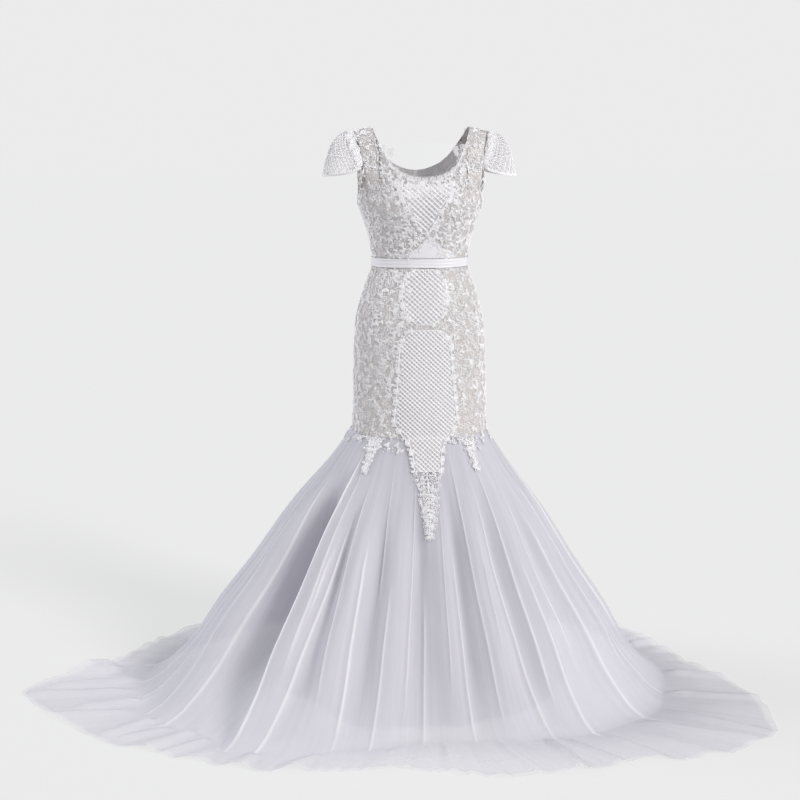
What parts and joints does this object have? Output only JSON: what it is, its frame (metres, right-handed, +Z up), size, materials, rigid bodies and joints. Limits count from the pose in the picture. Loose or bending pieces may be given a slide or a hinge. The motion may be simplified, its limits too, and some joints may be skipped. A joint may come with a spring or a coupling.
{
  "type": "mermaid wedding gown",
  "caption": "Hollow fitted gown with net cap sleeves, a lattice lace front, a ribbon waist and a wide net skirt spread on the floor.",
  "frame": {"origin": "midway between the two shoulder seams, where a wearer's shoulders hold the gown; the floor is 1.474 m below", "axes": "+Z up, +X to the wearer's left and along the widest spread of the skirt, -Y to the front"},
  "size_m": [1.922, 1.3986, 1.4753],
  "materials": {
    "lace": "beaded white lace on satin",
    "lattice": "corded and beaded lattice",
    "sleeve_net": "open beaded net",
    "illusion_net": "fine sheer net",
    "satin": "soft white satin",
    "tulle": "soft sheer tulle"
  },
  "bodies": {
    "root": {"bodice_front": "lace", "bodice_back_left": "lace", "bodice_back_right": "lace", "back_zip": "satin", "neck_net": "illusion_net", "lace_neck_left": "lattice", "lace_neck_right": "lattice", "sleeve_left": "sleeve_net", "sleeve_right": "sleeve_net", "waist_belt": "satin", "skirt_front": "lace", "skirt_back_left": "lace", "skirt_back_right": "lace", "underskirt": "satin", "tulle_front": "tulle", "tulle_left": "tulle", "tulle_back": "tulle", "tulle_right": "tulle", "lace_bust": "lattice", "lace_medallion": "lattice", "lace_shield": "lattice", "lace_tail_front": "lattice", "lace_tail_left": "lattice", "lace_tail_right": "lattice"}
  },
  "joints": []
}
